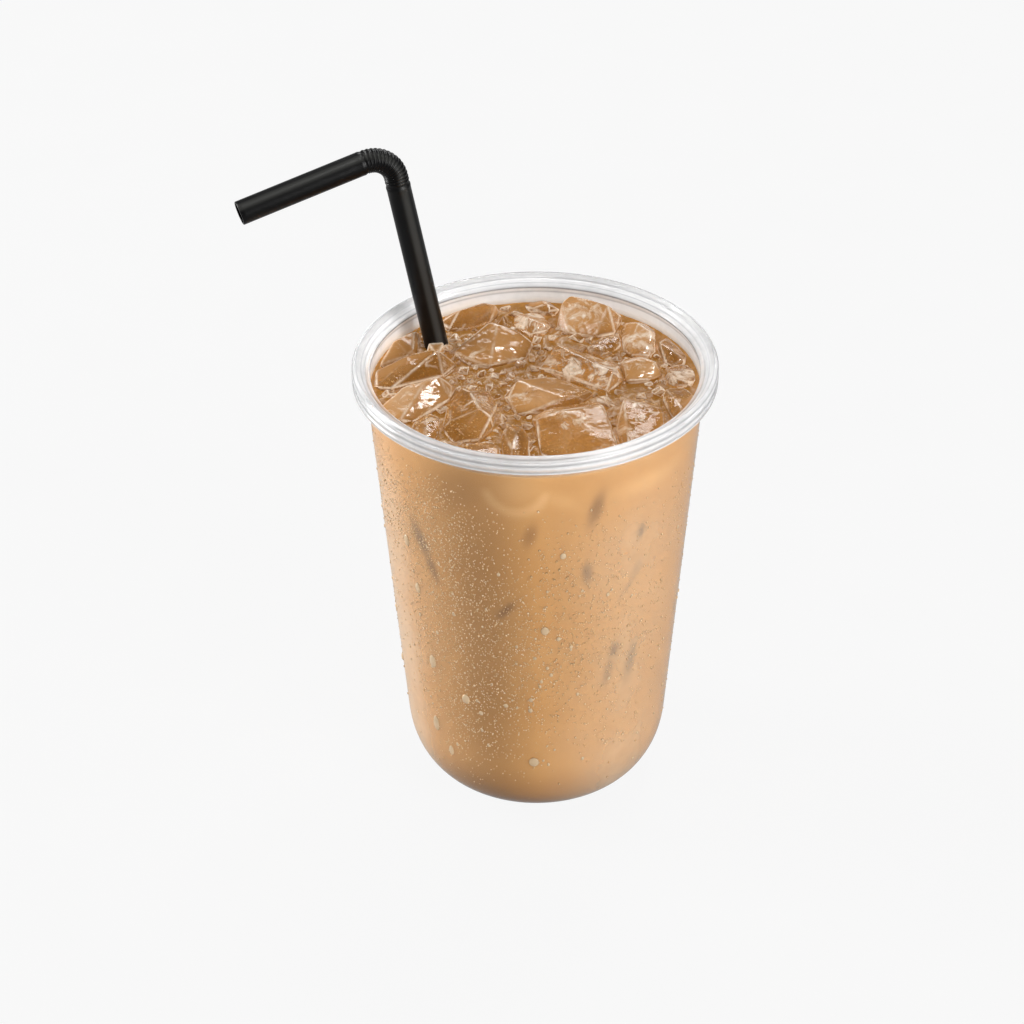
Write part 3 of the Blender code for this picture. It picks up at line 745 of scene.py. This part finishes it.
def make_tea(surface, outlines):
    inset = WALL_T - INTO_WALL
    n = TOP_CELLS
    top_r = outside_radius(LEVEL) - inset
    disc = square_to_disc(n) * top_r
    z, brown, crest = tea_surface(disc, outlines)
    top = np.column_stack([disc, z])
    border = border_order(n)
    rim_points = top[border]
    turns = np.arctan2(rim_points[:, 1], rim_points[:, 0])
    levels = [h for h in wall_levels(TEA_WALL_ROWS, LEVEL - 1.2) if h > 0.0]
    side = [p for p in wall_line(inset, levels) if p[1] > BASE_T - INTO_WALL + 0.1][::-1]
    side += [(side[-1][0] * share, BASE_T - INTO_WALL) for share in (0.97, 0.6, 0.25)]
    rings = [np.column_stack([r * np.cos(turns), r * np.sin(turns), np.full(len(turns), h)]) for r, h in side]
    points = np.vstack([top, *rings, [[0, 0, BASE_T - INTO_WALL]]])
    faces = []
    for row in range(n):
        for column in range(n):
            a = row * (n + 1) + column
            faces.append((a, a + 1, a + n + 2, a + n + 1))
    first, count = len(top), len(border)
    for i in range(count):
        j = (i + 1) % count
        faces.append((border[j], border[i], first + i, first + j))
    faces += ring_faces(len(rings), count, first, flip=True)
    last = first + (len(rings) - 1) * count
    faces += [(last + (i + 1) % count, last + i, len(points) - 1) for i in range(count)]
    azimuth, height = azimuths(points), points[:, 2]
    under = (0, len(points) - len(top))
    is_top = np.pad(np.ones(len(top)), under)
    mark_and_shade, cool, pale = (np.zeros(len(points)) for _ in range(3))
    # the marks, and the painted shade band, darken the tea behind the wall
    for row in TEA_MARKS_AND_SHADE:
        shade = row[5] * spot(azimuth, height, row)
        mark_and_shade = np.maximum(mark_and_shade, shade * (1 - row[6]))
        cool = np.maximum(cool, shade * row[6])
    for row in TEA_PALES:
        pale = np.maximum(pale, row[5] * spot(azimuth, height, row))
    arc_at, arc_z, arc_r, arc_w, arc_strength = TEA_ARC
    side_mm = np.radians(azimuth - arc_at) * TEA_ARC_WALL_R
    ring = gauss(np.hypot(side_mm, height - arc_z), arc_r, arc_w) * np.clip((arc_z - height) / 2.0, 0, 1)
    pale = np.maximum(pale, arc_strength * ring)
    wall_only = 1.0 - is_top
    # painted shade: darker towards the foot of the tea
    deep = 0.85 * np.clip(1 - height / 20.0, 0, 1) ** 1.1
    values = {"mark_and_shade": mark_and_shade * wall_only, "cool": cool * wall_only, "pale": pale * wall_only, "deep": deep,
              "brown": np.pad(brown, under), "crest": np.pad(0.25 * crest, under), "top": is_top}
    return mesh_object("milk_tea", points, faces, surface, values=values)


# ---------- ice

def in_plan(xy, outline, margin):
    """A point drawn towards the middle of a convex outline until it is margin inside it."""
    middle = outline.mean(axis=0)
    at = np.array(xy, float)
    for _ in range(40):
        if distance_outside(at[None], outline)[0] < -margin:
            break
        at += (middle - at) * 0.06
    return at


def ice_points(node, outline, rng):
    """Corners of a piece: the solid's lower part, its outline at the tea, and ridges and shoulders above."""
    low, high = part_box(node.name)
    rise = high.z / MM - LEVEL
    deep = [tuple(v.co / MM) for v in node.data.vertices if v.co.z < (LEVEL - 1.5) * MM]
    middle = outline.mean(axis=0)
    out = outline - middle
    grown = middle + out * (1 + ICE_SWELL / np.linalg.norm(out, axis=1))[:, None]
    edge = [(*xy, LEVEL + rng.uniform(-0.4, 1.0)) for xy in grown]
    tops = []
    for x, y, up in ICE_RIDGES.get(node.name, ()):
        at = in_plan((x, y - SIGHT_SLOPE * (LEVEL + ICE_RISE * up - SIGHT_Z)), grown, 0.4)
        tops.append((*at, LEVEL + ICE_RISE * up))
    if not tops:
        for share in (0.2, 0.5, 0.35):
            turn = rng.uniform(0, len(grown))
            at = middle + (grown[int(turn)] - middle) * share
            tops.append((*at, LEVEL + rise * rng.uniform(0.85, 1.1)))
    for _ in range(3):
        at = middle + (grown[rng.integers(len(grown))] - middle) * rng.uniform(0.6, 0.9)
        tops.append((*at, LEVEL + rise * rng.uniform(0.3, 0.65)))
    return np.array([*deep, *edge, *tops])


def hull(points):
    """The convex hull of points as a mesh, in mm, and its flat sides as (unit normals, distances)."""
    shape = bmesh.new()
    made = bmesh.ops.convex_hull(shape, input=[shape.verts.new(tuple(p)) for p in points])
    spare = [g for g in made["geom_interior"] + made["geom_unused"] if isinstance(g, bmesh.types.BMVert)]
    bmesh.ops.delete(shape, geom=list(set(spare)), context="VERTS")
    bmesh.ops.recalc_face_normals(shape, faces=shape.faces)
    ways, reaches = [], []
    for face in shape.faces:
        face.normal_update()
        way = np.array(face.normal)
        if all(way @ other < 0.995 for other in ways):
            ways.append(way)
    ways = np.array(ways)
    reaches = (points @ ways.T).max(axis=0)
    mesh = bpy.data.meshes.new("hull")
    shape.to_mesh(mesh)
    shape.free()
    return mesh, ways, reaches


def remeshed(mesh, voxel):
    obj = new_object(mesh.name, mesh)
    cut = obj.modifiers.new("Even faces", "REMESH")
    cut.mode = "VOXEL"
    cut.voxel_size = voxel
    evaluated = obj.evaluated_get(bpy.context.evaluated_depsgraph_get())
    made = bpy.data.meshes.new_from_object(evaluated)
    bpy.data.objects.remove(obj)
    return made


def broken_ice(points, look, voxel, rounding, rng):
    """Points, faces and looks of one piece: flat sides with softly melted edges."""
    mesh, ways, reaches = hull(points)
    mesh = remeshed(mesh, voxel)
    co = np.zeros(len(mesh.vertices) * 3)
    mesh.vertices.foreach_get("co", co)
    co = co.reshape(-1, 3)
    faces = [tuple(p.vertices) for p in mesh.polygons]
    bpy.data.meshes.remove(mesh)
    for _ in range(5):
        pull = np.exp(rounding * (co @ ways.T - reaches).clip(-4, 4))
        total = pull.sum(axis=1)
        slope = pull @ ways / total[:, None]
        over = np.log(total) / rounding / np.sum(slope**2, axis=1)
        co -= slope * over.clip(-0.2, 0.2)[:, None]
    out = slope / np.linalg.norm(slope, axis=1)[:, None]
    dents = 0.07 * waves(co, 6.0, 8, rng) + 0.015 * waves(co, 1.7, 9, rng)
    fade = np.clip((co[:, 2] - (LEVEL - 5)) / 3.0, 0, 1)
    over = co @ ways.T - reaches
    gap = np.sort(over, axis=1)
    nearest = np.argsort(over, axis=1)[:, -2:]
    bend = np.linalg.norm(ways[nearest[:, 0]] - ways[nearest[:, 1]], axis=1)
    from_edge = (gap[:, -1] - gap[:, -2]) / bend
    # painted highlight: a pale line along each edge
    edge = np.exp(-(from_edge / ICE_EDGE_HIGHLIGHT_W) ** 2) * np.clip((bend - 0.12) / 0.35, 0, 1)
    share = np.exp(3.0 * over.clip(-4, 4))
    share /= share.sum(axis=1)[:, None]
    frost, film, brown = look
    count = len(ways)
    tone = share @ (0.8 * brown + rng.uniform(-0.75, 0.6, count))
    # painted shade: browner in the lowest millimetres of each piece, where it meets the tea
    tone += 1.3 * np.exp(-(co[:, 2] - LEVEL + 0.1).clip(0) / 0.7)
    values = {
        "frost": share @ (frost + rng.uniform(-0.22, 0.22, count)),
        "film": share @ (film + rng.uniform(-0.30, 0.30, count)),
        "brown": tone.clip(0, 1),
        "pale": (-1.3 * tone).clip(0, 0.9),
        "edge": edge,
    }
    seen_y = co[:, 1] + SIGHT_SLOPE * (co[:, 2] - SIGHT_Z)
    for x, y, radius, strength in ICE_PALES:
        values["frost"] += strength * np.exp(-((co[:, 0] - x) ** 2 + (seen_y - y) ** 2) / radius**2)
    return co + out * (dents * fade)[:, None], faces, values


def joined_ice(name, pieces, surface):
    """One object of several pieces from broken_ice."""
    points, faces, values = [], [], {}
    for co, part_faces, part_values in pieces:
        first = sum(len(p) for p in points)
        points.append(co)
        faces += [tuple(first + i for i in face) for face in part_faces]
        for key, data in part_values.items():
            values.setdefault(key, []).append(data)
    return mesh_object(name, np.vstack(points), faces, surface,
                       values={key: np.concatenate(rows) for key, rows in values.items()})


def slush_bit(at, size, lift, look, rng):
    """A small many-sided bit of ice."""
    points = rng.normal(size=(11, 3))
    points *= np.array([1.0, rng.uniform(0.6, 1.0), 0.6]) * size / np.linalg.norm(points, axis=1)[:, None]
    turn = rng.uniform(0, math.tau)
    c, s = math.cos(turn), math.sin(turn)
    x, y, z = points.T
    corners = np.column_stack([x * c - y * s + at[0], x * s + y * c + at[1], z + LEVEL + lift])
    return broken_ice(corners, look, SLUSH_VOXEL, SLUSH_ROUNDING, rng)


def make_slush(surface, outlines):
    """Small broken bits between the pieces, each sized by the room that it has."""
    rng = np.random.default_rng(SLUSH_SEED)
    placed, pieces, tries = [], [], 0
    for x, y, size, lift in SLUSH_LUMPS:
        placed.append((np.array([x, y]), size))
        pieces.append(slush_bit((x, y), size, lift, SLUSH_LUMP_LOOK, rng))
    while len(placed) < SLUSH_COUNT and tries < SLUSH_TRIES:
        tries += 1
        at = rng.uniform(-SLUSH_SPAN, SLUSH_SPAN, 2)
        room = min(distance_outside(at[None], o)[0] for o in outlines)
        room = min(room, SLUSH_REACH - np.hypot(*at), np.hypot(*(at - STRAW_AT[:2])) - STRAW_R - 0.8)
        room = min([room, *(np.hypot(*(at - other)) - size for other, size in placed)])
        if room < 0.8:
            continue
        size = min(room * 1.15, rng.uniform(SLUSH_SMALL, SLUSH_LARGE))
        placed.append((at, size))
        look = (rng.uniform(0.0, 0.4), rng.uniform(0.8, 1.1), rng.uniform(0.3, 1.1))
        pieces.append(slush_bit(at, size, rng.uniform(0, 0.25) * size - 0.35, look, rng))
    return joined_ice("ice_slush", pieces, surface)


# ---------- straw

def straw_rings():
    """(centre, direction, outside radius) of each ring, from the foot to the tip."""
    lean, short = Vector(STRAW_LEAN).normalized(), Vector(SHORT_LEG).normalized()
    at = Vector(STRAW_AT)
    foot = at + lean * ((STRAW_FOOT_Z - at.z) / lean.z)
    corner = at + lean * ((ELBOW_Z - at.z) / lean.z)
    turn = math.acos(lean.dot(short))
    bend_start = corner - lean * (BEND_R * math.tan(turn / 2))
    inward = (short - lean * lean.dot(short)).normalized()
    hub = bend_start + inward * BEND_R
    length = FOLD_TAIL + BEND_R * turn
    folds_start = bend_start - lean * (FOLD_TAIL + 1.6)
    rings = [(foot, lean, STRAW_R - 0.15), (foot + lean * 0.15, lean, STRAW_R)]
    rings += [(foot + (folds_start - foot) * t, lean, STRAW_R) for t in np.linspace(0.02, 1.0, 60)]
    # a collar, a little proud, closes the folds on each side
    rings += [(folds_start + lean * s, lean, STRAW_R + up) for s, up in ((0.2, 0.06), (0.7, 0.06), (0.95, -0.05))]
    steps = FOLDS * 8
    for k in range(steps + 1):
        s = length * k / steps - FOLD_TAIL
        if s <= 0:
            centre, direction = bend_start + lean * s, lean
        else:
            t = s / BEND_R
            centre = hub + (lean * math.sin(t) - inward * math.cos(t)) * BEND_R
            direction = lean * math.cos(t) + inward * math.sin(t)
        crest = 0.5 - 0.5 * math.cos(math.tau * k / 8)
        rings.append((centre, direction, FOLD_TROUGH_R + (FOLD_CREST_R - FOLD_TROUGH_R) * crest**0.7))
    bend_end = corner + short * (BEND_R * math.tan(turn / 2))
    tip = corner + short * SHORT_LEG_L
    rings += [(bend_end + short * s, short, STRAW_R + up) for s, up in ((0.5, -0.05), (0.75, 0.04), (1.2, 0.0))]
    rings += [(bend_end + short * 1.2 + (tip - bend_end - short * 1.2) * t, short, STRAW_R)
              for t in np.linspace(0.05, 0.995, 30)]
    rings.append((tip, short, STRAW_R - 0.12))
    return rings, lean.cross(short).normalized()


def make_straw(surface):
    rings, side = straw_rings()
    turns = np.arange(STRAW_SIDES) * math.tau / STRAW_SIDES
    points, sheen = [], []
    bore, lean = STRAW_R - STRAW_BORE_R, rings[0][1]
    for inner in (False, True):
        for centre, direction, radius in rings:
            over = direction.cross(side).normalized()
            r = min(radius - bore, STRAW_BORE_R) if inner else radius
            bent = lean.angle(direction) / lean.angle(rings[-1][1])
            middle = SHEEN_LONG_DEG + (SHEEN_SHORT_DEG - SHEEN_LONG_DEG) * bent
            for t in turns:
                away = abs((math.degrees(t) - middle + 180) % 360 - 180)
                crest = np.clip((radius - FOLD_TROUGH_R) / (FOLD_CREST_R - FOLD_TROUGH_R), 0, 1)
                # painted sheen: a grey highlight band round each leg, brightest on the folds' crests
                sheen.append(0.0 if inner else math.exp(-(away / SHEEN_WIDTH_DEG) ** 4) * (0.25 + 0.75 * crest))
                points.append(tuple(centre + (side * math.cos(t) + over * math.sin(t)) * r))
    count, columns = len(rings), STRAW_SIDES
    inner_first, top = count * columns, (count - 1) * columns
    faces = ring_faces(count, columns) + ring_faces(count, columns, inner_first, flip=True)
    for i in range(columns):
        j = (i + 1) % columns
        faces.append((inner_first + i, inner_first + j, j, i))
        faces.append((top + i, top + j, inner_first + top + j, inner_first + top + i))
    return mesh_object("straw_black", points, faces, surface, values={"sheen": sheen})


# ---------- drops and bubbles

def dome(sides, rows):
    """A unit dome with its foot a little below z = 0: points, faces and how near each point is to the foot, for a
    painted dark outline there.
    """
    points, faces, rim = [], [], []
    for k in range(rows):
        t = math.pi / 2 * k / rows
        r, h = math.cos(t), math.sin(t)
        for i in range(sides):
            turn = math.tau * (i + 0.5 * (k % 2)) / sides
            points.append((r * math.cos(turn), r * math.sin(turn), h - DOME_SUNK))
            rim.append(max(0.0, 1 - 12 * (1 - r)))
    points.append((0.0, 0.0, 1.0 - DOME_SUNK))
    rim.append(0.0)
    faces = ring_faces(rows, sides)
    last = (rows - 1) * sides
    faces += [(last + i, last + (i + 1) % sides, len(points) - 1) for i in range(sides)]
    faces.append(tuple(range(sides))[::-1])
    return np.array(points), faces, rim


def joined_domes(name, places, shape, surface):
    """One mesh of domes. A place is (centre, side axis, up axis, outward axis)."""
    unit, faces, rim = shape
    points, all_faces = [], []
    for number, (centre, side, up, out) in enumerate(places):
        points.append(centre + unit @ np.array([side, up, out]))
        first = number * len(unit)
        all_faces += [tuple(first + i for i in face) for face in faces]
    return mesh_object(name, np.vstack(points), all_faces, surface, values={"rim": np.tile(rim, len(places))})


def on_wall(azimuth, z, radius, stretch, height):
    """A dome's place on the outside wall."""
    across, up = wall_normal(z)
    a = math.radians(azimuth)
    level = np.array([math.sin(a), -math.cos(a), 0.0])
    out = level * across + np.array([0, 0, up])
    side = np.array([math.cos(a), math.sin(a), 0.0])
    rise = np.cross(out, side)
    centre = level * outside_radius(z) + np.array([0, 0, z])
    return centre, side * radius, rise * radius * stretch, out * radius * height


def make_condensation(mist_water, drop_water):
    rng = np.random.default_rng(DROP_SEED)
    mist, taken = [], set()
    for azimuth, z, spread_a, spread_z, count in MIST:
        for _ in range(count):
            a, h = rng.normal(azimuth, spread_a), rng.normal(z, spread_z)
            radius = rng.uniform(MIST_LOW, MIST_HIGH) * (1.5 if rng.uniform() < 0.07 else 1.0)
            under_rim = h > MIST_TOP_Z or (h > MIST_TOP_FRONT_Z and MIST_FRONT[0] < a < MIST_FRONT[1])
            cell = (round(math.radians(a) * WALL_MEAN_R / MIST_APART), round(h / MIST_APART))
            if 6 < h and not under_rim and cell not in taken:
                taken.add(cell)
                mist.append(on_wall(a, h, radius, rng.uniform(1.0, 1.25), rng.uniform(0.6, 0.9)))
    drops = [on_wall(a, h, radius, stretch, 0.55) for a, h, radius, stretch in DROPS]
    for _ in range(SMALL_DROPS):
        a, h = rng.uniform(-180, 180), rng.triangular(8, 50, 104)
        drops.append(on_wall(a, h, rng.uniform(0.28, 0.5), rng.uniform(1.0, 1.5), rng.uniform(0.55, 0.8)))
    return [joined_domes("condensation_mist", mist, dome(sides=6, rows=2), mist_water),
            joined_domes("condensation_drops", drops, dome(sides=20, rows=7), drop_water)]


def make_bubbles(surface, ground):
    rng = np.random.default_rng(BUBBLE_SEED)
    places = []
    for x, y, spread, count in BUBBLES:
        for _ in range(count):
            bx, by = rng.normal(x, spread), rng.normal(y, spread)
            radius = rng.uniform(BUBBLE_LOW, BUBBLE_HIGH)
            if math.hypot(bx, by) > BUBBLE_REACH:
                continue
            hit = ground.ray_cast(Vector((bx, by, CUP_TOP_Z)), Vector((0, 0, -1)))
            if hit[0] is None:
                continue
            centre = np.array(hit[0])
            places.append((centre, np.array([radius, 0, 0]), np.array([0, radius, 0]),
                           np.array([0, 0, radius * rng.uniform(0.7, 1.0)])))
    return joined_domes("surface_bubbles", places, dome(sides=7, rows=2), surface)


def shape_tree(objects):
    """A tree for casting rays at several objects, in mm."""
    points, faces = [], []
    for obj in objects:
        first = len(points)
        points += [v.co / MM for v in obj.data.vertices]
        faces += [tuple(first + i for i in p.vertices) for p in obj.data.polygons]
    return BVHTree.FromPolygons(points, faces)


# ---------- studio

def make_studio():
    bpy.context.scene.view_settings.view_transform = "Standard"
    world = bpy.data.worlds.new("studio")
    bpy.context.scene.world = world
    world.use_nodes = True
    tree = world.node_tree
    tree.nodes.clear()
    seen = add(tree, "LightPath").outputs["Is Camera Ray"]
    strength = between(tree, seen, 0.0, 1.0, WORLD_LIGHT, BACKGROUND)
    back = add(tree, "Background", {"Color": (1.0, 1.0, 1.0), "Strength": strength})
    tree.links.new(back.outputs[0], tree.nodes.new("ShaderNodeOutputWorld").inputs[0])
    target = Vector(STUDIO_AIM)
    for name, azimuth, elevation, distance, width, height, power in SOFTBOXES:
        light = bpy.data.lights.new("softbox_" + name, "AREA")
        light.shape, light.size, light.size_y, light.energy = "RECTANGLE", width, height, power
        obj = new_object("softbox_" + name, light)
        a, e = math.radians(azimuth), math.radians(elevation)
        way = Vector((math.sin(a) * math.cos(e), -math.cos(a) * math.cos(e), math.sin(e)))
        obj.location = target + way * distance
        obj.rotation_mode = "QUATERNION"
        obj.rotation_quaternion = way.to_track_quat("Z", "Y")


def make_floor():
    points = [(x * FLOOR_HALF, y * FLOOR_HALF, 0) for x, y in ((-1, -1), (1, -1), (1, 1), (-1, 1))]
    floor = mesh_object("floor", points, [(0, 1, 2, 3)], floor_material(), smooth=False)


def make_camera():
    data = bpy.data.cameras.new("camera")
    data.lens, data.sensor_width = CAMERA_LENS, SENSOR
    data.clip_start, data.clip_end = 0.01, 20.0
    obj = new_object("camera", data)
    obj.matrix_world = (Matrix.Translation(Vector(CAMERA_AT) * MM)
                        @ Matrix.Rotation(math.radians(CAMERA_TILT_DEG), 4, "X")
                        @ Matrix.Rotation(math.radians(CAMERA_ROLL_DEG), 4, "Z"))
    bpy.context.scene.camera = obj


def put(piece, node):
    """The piece rides on the cup's body and stands for a node."""
    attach(piece, "root")
    if node:
        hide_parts(node)


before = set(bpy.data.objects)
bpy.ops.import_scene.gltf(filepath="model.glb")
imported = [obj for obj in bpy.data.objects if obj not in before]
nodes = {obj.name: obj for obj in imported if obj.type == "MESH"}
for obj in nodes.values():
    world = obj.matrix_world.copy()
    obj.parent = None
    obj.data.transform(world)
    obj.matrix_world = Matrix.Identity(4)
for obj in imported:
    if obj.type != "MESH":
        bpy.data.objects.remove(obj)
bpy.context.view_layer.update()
make_camera()
make_studio()
make_floor()

ice_names = sorted(name for name in nodes if name.startswith("ice_"))
outlines = [outline_of(nodes[name]) for name in ice_names]

put(make_cup(cup_material()), "cup")
tea = make_tea(tea_material(), outlines)
put(tea, "drink")
ice_surface = ice_material()
ice_rng = np.random.default_rng(ICE_SEED)
ice_pieces = []
for name, outline, look in zip(ice_names, outlines, ICE_LOOKS):
    corners = ice_points(nodes[name], outline, ice_rng)
    made = broken_ice(corners, look, ICE_VOXEL, ICE_ROUNDING, ice_rng)
    piece = joined_ice(name + "_melted", [made], ice_surface)
    put(piece, name)
    ice_pieces.append(piece)
slush = make_slush(ice_surface, outlines)
put(slush, None)
put(make_straw(straw_material()), "straw")
for piece in make_condensation(mist_material(), water_material("drop_water", DROP_GLOW_SHARE, DROP_GLOW_CREAM)):
    put(piece, None)
bubble_ground = shape_tree([tea, slush, *ice_pieces])
put(make_bubbles(water_material("bubble_film", BUBBLE_MILK, BUBBLE_TAN), bubble_ground), None)
